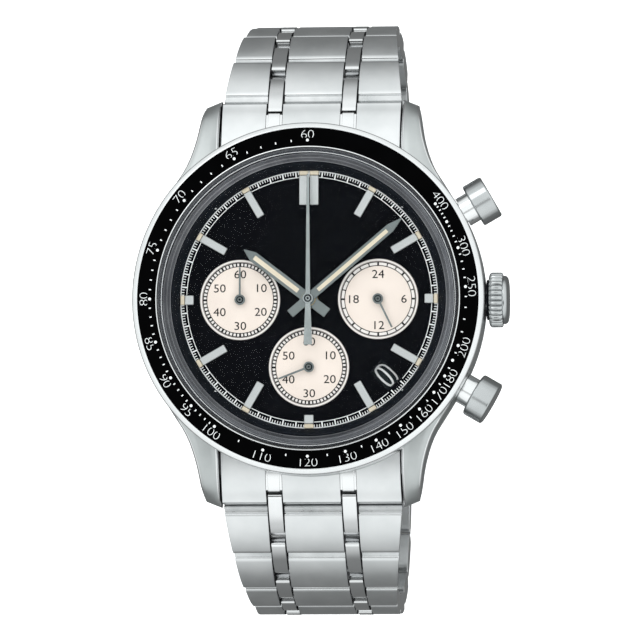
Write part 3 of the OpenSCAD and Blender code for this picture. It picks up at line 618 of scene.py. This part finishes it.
def make_dial():
    lathe("dial_flange", [
        (15.04, 7.67), (16.0, 7.67), (16.0, 8.9), (15.9, 8.93), (15.75, 8.86), (15.1, 7.85),
    ], [FLANGE_BLACK], HEAD, 180, replaces=("rehaut_ring",), slot="gloss_black")
    for name, centre, divisions, heavy in (
        ("minute_counter_face", LEFT, 60, 5), ("hours24_face", RIGHT, 24, 3), ("seconds_face", LOW, 60, 5),
    ):
        bm = bmesh.new()
        # raised rim, sunk track, centre
        lathe_into(bm, [
            (0.42, SUB_TOP + 0.005), (0.42, SUB_TOP + 0.03), (3.84, SUB_TOP + 0.03), (3.86, SUB_TOP + 0.02),
            (4.36, SUB_TOP + 0.02), (4.4, SUB_TOP + 0.08), (4.47, SUB_TOP + 0.15), (4.63, SUB_TOP + 0.17),
            (4.7, SUB_TOP + 0.12), (4.74, SUB_TOP + 0.005),
        ], 96, centre)
        for face in bm.faces:
            c = face.calc_center_median() / MM - Vector((*centre, 0))
            r = c.xy.length
            face.material_index = 0 if r < 3.85 else 2 if 4.36 < r < 4.46 or r > 4.64 else 1
        finish_mesh(name, bm, [CREAM, CREAM_TRACK, CREAM_RIM], HEAD, slot="gloss_black", sharp=60)
        bm = bmesh.new()
        z = SUB_TOP + 0.045
        ring_into(bm, 3.86, 3.94, z, 96, centre)
        ring_into(bm, 4.27, 4.36, z, 96, centre)
        for i in range(divisions):
            w = 0.11 if i % heavy == 0 else 0.075
            if divisions == 24:
                w = 0.1 if i % heavy == 0 else 0.06
            plate_into(bm, [(-w, 3.9), (w, 3.9), (w, 4.32), (-w, 4.32)], z, z + PRINT_THICK,
                       clockwise(360 / divisions * i, centre))
        figures = HOURS24_FIGURES if divisions == 24 else SIXTY_FIGURES
        for text, x, y in figures:
            spot = Matrix.Translation((centre[0] + x, centre[1] + y, 0))
            figures_into(bm, text, 0.95, spot, z, width=1.1)
        print_mesh(name.replace("face", "print"), bm, [BLACK_PRINT], HEAD)
    bm = bmesh.new()
    z = DIAL_TOP + 0.01
    ring_into(bm, 14.93, 15.06, z, 240)
    for i in range(240):
        a, b = 1.5 * i, 1.5 * i + 1.5
        if not 131 < a + 0.75 < 140:
            arc = [(14.26, a), (14.26, b), (14.34, b), (14.34, a)]
            plate_into(bm, [(r * math.sin(math.radians(t)), r * math.cos(math.radians(t))) for r, t in arc],
                       z, z + PRINT_THICK)
    for i in range(300):
        second = i % 5 == 0
        w, r0 = (0.075, 14.3) if second else (0.045, 14.6)
        plate_into(bm, [(-w, r0), (w, r0), (w, 15.0), (-w, 15.0)], z, z + PRINT_THICK, clockwise(1.2 * i))
    print_mesh("minute_track", bm, [WHITE_PRINT], HEAD)


MARKER_R = 14.5


def make_markers():
    for h in range(12):
        bm = bmesh.new()
        offsets = (-0.62, 0.62) if h == 0 else (0,)
        length = 3.5 if h == 0 else 1.05 if h % 3 == 0 else 3.3
        half = 0.525 if h == 0 else 0.56 if h % 3 == 0 else 0.475
        for x in offsets:
            plate_into(bm, [(x - half, MARKER_R - length), (x + half, MARKER_R - length),
                            (x + half, MARKER_R), (x - half, MARKER_R)],
                       DIAL_TOP, DIAL_TOP + 0.32, clockwise(30 * h))
            plate_into(bm, [(x - half, 14.52), (x + half, 14.52), (x + half, 15.03), (x - half, 15.03)],
                       DIAL_TOP, DIAL_TOP + 0.24, clockwise(30 * h), mat=1)
        finish_mesh(f"marker_{h if h else 12}", bm, [MARKER, LUME], HEAD, slot="hand_steel",
                    bevel=0.09, segments=1, replaces=("hour_markers",) if h == 0 else ())


make_dial()
make_markers()


# ------------------------------------------------------------------- hands
HOUR_AT, MINUTE_AT = 307.6, 49.6


def hand_outline(length, width, tail, point):
    h = width / 2
    neck = length - point
    return [(-h, -tail), (h, -tail), (h, neck), (0.05, length), (-0.05, length), (-h, neck)]


def time_hand(name, body, length, width, point, z, angle, hub, stripe, replaces):
    bm = bmesh.new()
    m = clockwise(angle)
    plate_into(bm, hand_outline(length, width, 2.75, point), z, z + 0.16, m)
    plate_into(bm, circle(hub, 40), z + 0.005, z + 0.165, m)
    half = 0.22 * width + 0.01
    plate_into(bm, [(-half, stripe[0]), (half, stripe[0]), (half, stripe[1]), (-half, stripe[1])],
               z + 0.1, z + 0.172, m, mat=1)
    finish_mesh(name, bm, [HAND_STEEL, LUME], body, replaces=replaces, slot="hand_steel", bevel=0.05)


def flank_into(bm, edge, z):
    """One sloping half of a hand: from the middle ridge down to the edge."""
    ridge, top, low = [], [], []
    for x, y in edge:
        ridge.append(bm.verts.new(Vector((0, y, z + 0.15)) * MM))
        top.append(bm.verts.new(Vector((x, y, z + 0.05)) * MM))
        low.append(bm.verts.new(Vector((x, y, z)) * MM))
    base = [bm.verts.new(Vector((0, y, z)) * MM) for _, y in edge]
    for i in range(len(edge) - 1):
        bm.faces.new((ridge[i], ridge[i + 1], top[i + 1], top[i]))
        bm.faces.new((top[i], top[i + 1], low[i + 1], low[i]))
        bm.faces.new((low[i], low[i + 1], base[i + 1], base[i]))
    for i in (0, -1):
        bm.faces.new((ridge[i], top[i], low[i], base[i]))


def hub_into(bm, centre, radius, z, top):
    """Turned hub: outer ring, groove painted black as shade, small inner ring and a sunk pin end painted
    black as a shaded hole.
    """
    def ring(r0, r1, z1, mat):
        lathe_into(bm, [
            (r0, z), (r1, z), (r1, z1 - 0.03), (r1 - 0.03, z1), (r0 + 0.03, z1), (r0, z1 - 0.03),
        ], 40, centre, None, mat)
    ring(0.68 * radius, radius, top - 0.03, 0)
    ring(0.46 * radius, 0.68 * radius, top - 0.1, 1)
    ring(0.2 * radius, 0.46 * radius, top, 0)
    pin = 0.2 * radius
    lathe_into(bm, [(0, top - 0.05), (pin, top - 0.05), (pin, top - 0.02), (0, top - 0.02)], 24,
               centre, None, 1)


def make_hands():
    time_hand("hand_hour", "hour", 9.5, 1.22, 1.35, 8.4, HOUR_AT, 1.05, (1.5, 8.0), ("hour_hand",))
    time_hand("hand_minute", "minute", 14.3, 1.04, 1.7, 8.8, MINUTE_AT, 0.8, (1.5, 12.1), ("minute_hand",))
    bm = bmesh.new()
    z = 9.2
    for side in (-1, 1):
        flank_into(bm, [(side * 0.46, -5.4), (side * 0.5, -5.2), (side * 0.28, 0), (side * 0.14, 14.5)], z)
    hub_into(bm, (0, 0), 0.63, z + 0.03, 9.46)
    finish_mesh("hand_chrono_seconds", bm, [PALE_HAND, FLANGE_BLACK], "chrono_seconds",
                replaces=("chrono_seconds_hand",), slot="hand_steel", bevel=0.03)
    for name, body, centre, length, angle in (
        ("hand_minute_counter", "minute_counter", LEFT, 3.77, 0),
        ("hand_hours24", "hours24", RIGHT, 3.7, 154),
        ("hand_small_seconds", "small_seconds", LOW, 3.77, 249),
    ):
        bm = bmesh.new()
        m = clockwise(angle, centre)
        plate_into(bm, [(-0.12, 0.3), (0.12, 0.3), (0.1, length), (-0.1, length)], 7.97, 8.09, m)
        hub_into(bm, centre, 0.62, 7.97, 8.2)
        finish_mesh(name, bm, [HAND_STEEL, FLANGE_BLACK], body, replaces=(body + "_hand",), slot="hand_steel",
                    bevel=0.02)


make_hands()


DATE_AT = 135
DAYS = 31


def stroke_into(bm, points, width, z, matrix, closed=False):
    """A printed line of even width along a list of points."""
    count = len(points)
    left, right = [], []
    for i, (x, y) in enumerate(points):
        before = points[i - 1] if i or closed else points[i]
        after = points[(i + 1) % count] if i + 1 < count or closed else points[i]
        along = Vector((after[0] - before[0], after[1] - before[1])).normalized() * width / 2
        left.append(bm.verts.new(matrix @ Vector((x - along.y, y + along.x, z)) * MM))
        right.append(bm.verts.new(matrix @ Vector((x + along.y, y - along.x, z)) * MM))
    for i in range(count if closed else count - 1):
        k = (i + 1) % count
        bm.faces.new((left[i], left[k], right[k], right[i]))


def make_date():
    bm = bmesh.new()
    m = clockwise(DATE_AT)
    w, y0, y1 = 1.03, 11.02, 14.03
    edge = 0.06
    for box in (
        [(-w, y0), (w, y0), (w, y0 + edge), (-w, y0 + edge)],
        [(-w, y1 - edge), (w, y1 - edge), (w, y1), (-w, y1)],
        [(-w, y0 + edge), (-w + edge, y0 + edge), (-w + edge, y1 - edge), (-w, y1 - edge)],
        [(w - edge, y0 + edge), (w, y0 + edge), (w, y1 - edge), (w - edge, y1 - edge)],
    ):
        plate_into(bm, box, DIAL_TOP - 0.35, DIAL_TOP + 0.01, m)
    finish_mesh("date_window_edge", bm, [FLANGE_BLACK], HEAD, slot="gloss_black")
    bm = bmesh.new()
    z = 6.665
    spot = m @ Matrix.Translation((0, 12.34, 0))
    loop = []
    for i in range(40):
        a = 2 * math.pi * i / 40
        c, d = math.cos(a), math.sin(a)
        loop.append((0.21 + 0.44 * math.copysign(abs(c) ** 0.85, c),
                     0.17 + 1.33 * math.copysign(abs(d) ** 0.9, d)))
    stroke_into(bm, loop, 0.25, z, spot, closed=True)
    tail = [(0.2, -1.17), (-0.05, -1.21), (-0.34, -1.16), (-0.6, -0.98), (-0.78, -0.68),
            (-0.87, -0.1), (-0.89, 0.5), (-0.85, 1.02), (-0.76, 1.34), (-0.62, 1.5)]
    stroke_into(bm, tail, 0.22, z + 0.002, spot)
    for day in range(1, DAYS):
        spot = clockwise(DATE_AT + day * 360 / DAYS) @ Matrix.Translation((0, 12.4, 0))
        number = (8 + day) % DAYS + 1
        figures_into(bm, str(number), 2.4, spot @ Matrix.Rotation(math.pi, 4, "Z"), z,
                     width=0.45 if number > 9 else 0.8, thin=0.01)
    print_mesh("date_figures", bm, [WHITE_PRINT], "date")


make_date()
frame["nodes"]["date_ring"].data.materials[0] = DATE_BLACK


# ------------------------------------------------------- crown and pushers
CROWN_Z = 5.0


def outward(angle):
    """Maps a lathe's Z to the direction out of the case at an angle from +X."""
    turn = Matrix.Rotation(math.radians(angle), 4, "Z")
    return Matrix.Translation((0, 0, CROWN_Z)) @ turn @ Matrix.Rotation(math.pi / 2, 4, "Y")


def make_crown():
    bm = bmesh.new()
    m = outward(0)
    x0, length, radius, flutes = 20.85, 2.35, 3.2, 30
    steps = flutes * 10
    rings = []
    for r_scale, x, cut in (
        (0.88, 0.0, 0.2), (0.96, 0.1, 0.6), (1.0, 0.3, 1), (1.0, 1.42, 1), (0.97, 1.58, 0.6),
    ):
        ring = []
        for i in range(steps):
            a = 2 * math.pi * i / steps
            wave = (0.5 + 0.5 * math.cos(flutes * a)) ** 0.5
            r = radius * r_scale - 0.27 * cut * (1 - wave)
            ring.append(bm.verts.new((m @ Vector((r * math.cos(a), r * math.sin(a), x0 + x))) * MM))
        rings.append(ring)
    for a, b in zip(rings, rings[1:]):
        for i in range(steps):
            k = (i + 1) % steps
            bm.faces.new((a[i], a[k], b[k], b[i]))
    bm.faces.new(rings[0])
    bm.faces.new(rings[-1][::-1])
    lathe_into(bm, [
        (0, x0 + 1.5), (2.74, x0 + 1.5), (2.82, x0 + 1.6), (2.82, x0 + 1.85), (2.74, x0 + 2.06),
        (2.5, x0 + 2.22), (2.1, x0 + 2.3), (1.2, x0 + length - 0.02), (0, x0 + length),
    ], 96, (0, 0), m)
    # collar painted black as a shadow, closing the gap to the case
    lathe_into(bm, [
        (1.2, x0 - 0.28), (2.3, x0 - 0.28), (2.35, x0 - 0.2), (2.35, x0 + 0.05), (1.2, x0 + 0.05),
    ], 64, (0, 0), m, 1)
    finish_mesh("crown_fluted", bm, [PUSHER_STEEL, FLANGE_BLACK], "crown", replaces=("crown",),
                slot="polished_steel", sharp=50)


def make_pusher(name, angle, body):
    m = outward(angle)
    x0 = 21.9
    lathe(name, supported([
        (1.87, x0 + 0.06), (1.93, x0), (2.44, x0), (2.5, x0 + 0.03), (2.57, x0 + 0.13), (2.6, x0 + 0.2),
        (2.6, x0 + 2.24), (2.57, x0 + 2.31), (2.48, x0 + 2.41), (2.4, x0 + 2.44), (1.2, x0 + 2.45),
        (0, x0 + 2.45), (0, x0 + 1.76), (1.87, x0 + 1.76),
    ]), [PUSHER_STEEL], body, 96, matrix=m, replaces=(body,), slot="polished_steel", sharp=50)


make_crown()
make_pusher("pusher_cap_start", 30, "pusher_start")
make_pusher("pusher_cap_reset", -30, "pusher_reset")

# ---------------------------------------------------------------- bracelet
PITCH = 6.7
ROW_ANGLE = [40, 55.5, 72.5, 83, 95, 113, 140, 168]
ROW_WIDTH = [20.9, 19.5, 18.2, 17.1, 16.9, 16.9, 16.9, 16.9]
ROWS = len(ROW_ANGLE)
LEAD, TRAIL = 1.08, 0.9
SLOT_IN, SLOT_OUT = 3.4, 5.3
GAP = 0.12
HINGE_Y, HINGE_Z = 22.6, 2.6
NARROW_END = 4.65
BAR_S, BAR_N, BAR_R = 5.2, 0.1, 0.3


def hinge(n):
    y, z = HINGE_Y, HINGE_Z
    for k in range(n):
        y += PITCH * math.cos(math.radians(ROW_ANGLE[k]))
        z -= PITCH * math.sin(math.radians(ROW_ANGLE[k]))
    return y, z


def row_place(n, side):
    """Maps s along a row and n outwards to y, z in the row frame."""
    y0, z0 = hinge(n)
    a = math.radians(ROW_ANGLE[n])

    def place(s, out):
        y = y0 + s * math.cos(a) + out * math.sin(a)
        z = z0 - s * math.sin(a) + out * math.cos(a)
        return side * y, z

    return place


def wide_profile():
    s0, s1 = LEAD + 0.8, PITCH + TRAIL
    points = [(LEAD, -0.75), (LEAD, 0.42), (LEAD + 0.05, 0.55), (LEAD + 0.16, 0.62), (s0 - 0.12, 0.7),
              (s0 - 0.04, 0.78), (s0 + 0.02, 0.96)]
    for i in range(1, 25):
        s = s0 + (s1 - s0) * i / 24
        u = (2 * s - s0 - s1) / (s1 - s0)
        points.append((s, 1.02 + 0.3 * (1 - u * u) - (0.08 if i == 24 else 0)))
    points += [(s1, 0.7), (s1, -0.1), (s1 - 0.12, -0.5), (s1 - 0.6, -1.2), (s1 - 1.2, -1.3),
               (LEAD + 0.9, -1.3), (LEAD + 0.35, -1.15)]
    return points


def narrow_profile():
    start, end = -0.93, NARROW_END
    points = []
    for degrees in range(180, 271, 10):
        a = math.radians(degrees)
        points.append((0.88 * math.cos(a), 0.88 * math.sin(a)))
    points += [(end - 0.5, -1.1), (end - 0.1, -0.9), (end, -0.6), (end, 0.94)]
    for i in range(15):
        u = i / 7 - 1
        points.append((end - 0.08 - (end - start - 0.2) * i / 14, 1.04 + 0.25 * (1 - u * u)))
    return points + [(start, 0.92), (start, 0.6)]


def rod_into(bm, x0, x1, y, z, radius):
    m = Matrix.Translation((0, y, z)) @ Matrix.Rotation(math.pi / 2, 4, "Y")
    lathe_into(bm, [
        (0, x0), (radius - 0.06, x0), (radius, x0 + 0.06), (radius, x1 - 0.06), (radius - 0.06, x1), (0, x1),
    ], 20, matrix=m)


def make_row(n, side, tag):
    w0 = ROW_WIDTH[n]
    w1 = ROW_WIDTH[n + 1] if n + 1 < ROWS else w0
    place = row_place(n, side)
    body = f"row_{tag}_{n + 1}"
    s0, s1 = LEAD, PITCH + TRAIL

    def edge(s):
        return (w0 + (w1 - w0 + 0.05) * (s - s0) / (s1 - s0)) / 2

    def lip(a, b):
        if a[0] < LEAD + 0.78 and b[0] < LEAD + 0.78 and min(a[1], b[1]) > 0.3:
            return 2
        return 1 if (a[0] < LEAD + 0.85 and b[0] < LEAD + 0.85) or a[0] > s1 - 0.02 else 0

    bm = bmesh.new()
    outline = wide_profile()
    # The ends that face the slots are painted dark as shade in the slots; the outer ends are polished.
    profile_into(bm, outline, lambda s: -SLOT_IN, lambda s: SLOT_IN, place, lip, (3, 3))
    profile_into(bm, outline, lambda s: SLOT_OUT, edge, place, lip, (3, 1))
    profile_into(bm, outline, lambda s: -edge(s), lambda s: -SLOT_OUT, place, lip, (1, 3))
    finish_mesh(body + "_wide", bm, [BRUSHED, POLISHED, LIP, SHADE_PAINTED_STEEL], body,
                replaces=(body,), slot="brushed_steel", sharp=40, bevel=0.07)
    bm = bmesh.new()
    for sx in (-1, 1):
        a, b = sorted((sx * (SLOT_IN + GAP), sx * (SLOT_OUT - GAP)))
        # Both sides of each narrow piece are painted dark as shade in the slots.
        profile_into(bm, narrow_profile(), lambda s, a=a: a, lambda s, b=b: b, place, caps=(1, 1))
    finish_mesh(body + "_narrow", bm, [POLISHED, SHADE_PAINTED_STEEL], body, slot="brushed_steel", sharp=40, bevel=0.07)
    bm = bmesh.new()
    for s, out, radius, cut in ((PITCH, 0, 0.44, 0.55), (2.9, 0, 0.44, 0.8), (BAR_S, BAR_N, BAR_R, 0.8)):
        y, z = place(s, out)
        half = edge(s) - cut
        rod_into(bm, -half, half, y, z, radius)
    finish_mesh(body + "_pins", bm, [INNER_STEEL], body, slot="plain_steel", sharp=50)


def make_end_link(side, tag):
    """Fills between the lugs: three plain lands and two raised stripes over the narrow pieces."""
    w = 10.5
    hy, hz = HINGE_Y, HINGE_Z
    outline = [
        (17.0, 4.4), (17.0, 6.38), (18.8, 5.97), (20.6, 5.37), (21.7, 4.88), (22.5, 4.42), (22.95, 4.02),
        (hy + 0.78, hz + 1.2), (hy + 0.9, hz + 0.85), (hy + 0.93, hz + 0.4), (hy + 0.93, hz),
        (hy + 0.88, hz - 0.3), (hy + 0.76, hz - 0.53), (hy + 0.32, hz - 0.87),
        (21.9, 1.15), (20.1, 1.1), (20.1, 4.4),
    ]

    def place(s, n):
        return side * s, n

    bm = bmesh.new()
    for x0, x1 in ((-w, -SLOT_OUT), (-SLOT_IN, SLOT_IN), (SLOT_OUT, w)):
        # Every end of the lands is painted dark as shade, in the slots and beside the lugs.
        profile_into(bm, outline, lambda s, x0=x0: x0, lambda s, x1=x1: x1, place, caps=(1, 1))
    finish_mesh(f"end_link_{tag}_lands", bm, [BRUSHED, SHADE_PAINTED_STEEL], HEAD, replaces=(f"end_link_{tag}",),
                slot="brushed_steel", sharp=32, bevel=0.08)
    bm = bmesh.new()
    block = [(17.0, 4.3), (17.0, 6.5), (18.8, 6.12), (20.6, 5.6), (21.5, 5.24), (22.0, 5.0), (22.14, 4.88),
             (22.18, 4.72), (22.18, 4.2), (21.4, 4.2)]
    for sx in (-1, 1):
        a, b = sorted((sx * (SLOT_IN - 0.02), sx * (SLOT_OUT + 0.02)))
        profile_into(bm, [(min(s, 22.05), n - 0.3 if n > 4.5 else n) for s, n in block], lambda s, a=a: a,
                     lambda s, b=b: b, place)
        a, b = sorted((sx * (SLOT_IN + 0.25), sx * (SLOT_OUT - 0.25)))
        profile_into(bm, block, lambda s, a=a: a, lambda s, b=b: b, place)
    finish_mesh(f"end_link_{tag}_stripes", bm, [POLISHED], HEAD, slot="brushed_steel", sharp=32, bevel=0.06)
    bm = bmesh.new()
    rod_into(bm, -w + 0.3, w - 0.3, side * hy, hz, 0.44)
    finish_mesh(f"end_link_{tag}_pin", bm, [INNER_STEEL], HEAD, slot="plain_steel", sharp=50)


for tag, side in (("12", 1), ("6", -1)):
    make_end_link(side, tag)
    for n in range(ROWS):
        make_row(n, side, tag)


# --------------------------------------------------------- light and floor
def area_light(name, place, aim, size, power):
    data = bpy.data.lights.new(name, "AREA")
    data.energy = power
    data.shape = "RECTANGLE"
    data.size = size
    data.size_y = size
    lamp = bpy.data.objects.new(name, data)
    scene.collection.objects.link(lamp)
    lamp.location = place
    lamp.rotation_euler = (Vector(aim) - Vector(place)).to_track_quat("-Z", "Y").to_euler()


def make_floor():
    bm = bmesh.new()
    z = cad_low.z - 0.05 * MM
    size = 1.2
    verts = [bm.verts.new((x, y, z)) for x, y in ((-size, -size), (size, -size), (size, size), (-size, size))]
    bm.faces.new(verts)
    mesh = bpy.data.meshes.new("floor")
    bm.to_mesh(mesh)
    bm.free()
    mat, tree, shader = new_material("floor_white")
    tint(tree, noise(tree, 0.02), (0.93, 0.93, 0.93), (0.95, 0.95, 0.95), shader.inputs["Base Color"])
    shader.inputs["Roughness"].default_value = 0.8
    shader.inputs["Emission Color"].default_value = (1, 1, 1, 1)
    shader.inputs["Emission Strength"].default_value = 0.6
    mesh.materials.append(mat)
    floor = bpy.data.objects.new("floor", mesh)
    scene.collection.objects.link(floor)
    floor.visible_glossy = False


def math_node(tree, operation, a, b=None, clamp=False):
    node = tree.nodes.new("ShaderNodeMath")
    node.operation = operation
    node.use_clamp = clamp
    for i, value in enumerate((a, b)):
        if value is None:
            continue
        if isinstance(value, (int, float)):
            node.inputs[i].default_value = value
        else:
            tree.links.new(value, node.inputs[i])
    return node.outputs[0]


def ramp_node(tree, value, points):
    node = tree.nodes.new("ShaderNodeValToRGB")
    node.color_ramp.interpolation = "EASE"
    elements = node.color_ramp.elements
    while len(elements) < len(points):
        elements.new(0.5)
    for element, (at, level) in zip(elements, points):
        element.position = at
        element.color = (level, level, level, 1)
    tree.links.new(value, node.inputs[0])
    return node.outputs[0]


def make_world():
    """Studio surround: bright overhead with a small dark patch towards 6 o'clock, grey below."""
    world = bpy.data.worlds.new("studio")
    scene.world = world
    world.use_nodes = True
    tree = world.node_tree
    back = tree.nodes["Background"]
    coord = tree.nodes.new("ShaderNodeTexCoord")
    split = tree.nodes.new("ShaderNodeSeparateXYZ")
    tree.links.new(coord.outputs["Generated"], split.inputs[0])
    x, _, z = split.outputs
    height = math_node(tree, "MULTIPLY_ADD", z, 0.5)
    height.node.inputs[2].default_value = 0.5
    dome = ramp_node(tree, height, [(0.0, 0.13), (0.34, 0.2), (0.52, 0.6), (0.64, 0.9), (0.85, 1.0)])
    beside = math_node(tree, "ABSOLUTE", x)
    beside = math_node(tree, "SUBTRACT", beside, 0.45)
    beside = math_node(tree, "MULTIPLY", beside, 2.2, clamp=True)
    level = math_node(tree, "SUBTRACT", z, 0.3)
    level = math_node(tree, "ABSOLUTE", level)
    level = math_node(tree, "MULTIPLY", level, -2.5)
    level = math_node(tree, "ADD", level, 1.2, clamp=True)
    panels = math_node(tree, "MULTIPLY", beside, level)
    panels = math_node(tree, "MULTIPLY", panels, 0.75)
    patch = tree.nodes.new("ShaderNodeVectorMath")
    patch.operation = "DOT_PRODUCT"
    patch.inputs[1].default_value = Vector((-0.05, -0.33, 0.94)).normalized()
    tree.links.new(coord.outputs["Generated"], patch.inputs[0])
    hole = ramp_node(tree, patch.outputs["Value"], [(0.0, 1.0), (0.968, 1.0), (0.986, 0.12), (1.0, 0.05)])
    total = math_node(tree, "MAXIMUM", dome, panels)
    total = math_node(tree, "MULTIPLY", total, hole)
    total = math_node(tree, "MULTIPLY", total, 1.35)
    tree.links.new(total, back.inputs["Strength"])
    back.inputs["Color"].default_value = (0.97, 1.0, 1.0, 1)


def make_backdrop():
    """A white dome that only the camera sees, so the surround stays pale from every side."""
    bm = bmesh.new()
    bmesh.ops.create_uvsphere(bm, u_segments=48, v_segments=24, radius=6)
    mesh = bpy.data.meshes.new("backdrop")
    bm.to_mesh(mesh)
    bm.free()
    mat, tree, shader = new_material("backdrop_white")
    tint(tree, noise(tree, 0.002), (0.96, 0.96, 0.96), (1, 1, 1), shader.inputs["Emission Color"])
    shader.inputs["Base Color"].default_value = (0, 0, 0, 1)
    shader.inputs["Emission Strength"].default_value = 1.0
    mesh.materials.append(mat)
    dome = bpy.data.objects.new("backdrop", mesh)
    scene.collection.objects.link(dome)
    for kind in ("diffuse", "glossy", "transmission", "shadow"):
        setattr(dome, "visible_" + kind, False)


make_floor()
make_backdrop()
make_world()
area_light("key_soft", (-0.25, 0.35, 0.5), (0, 0, 0), 0.3, 0.35)
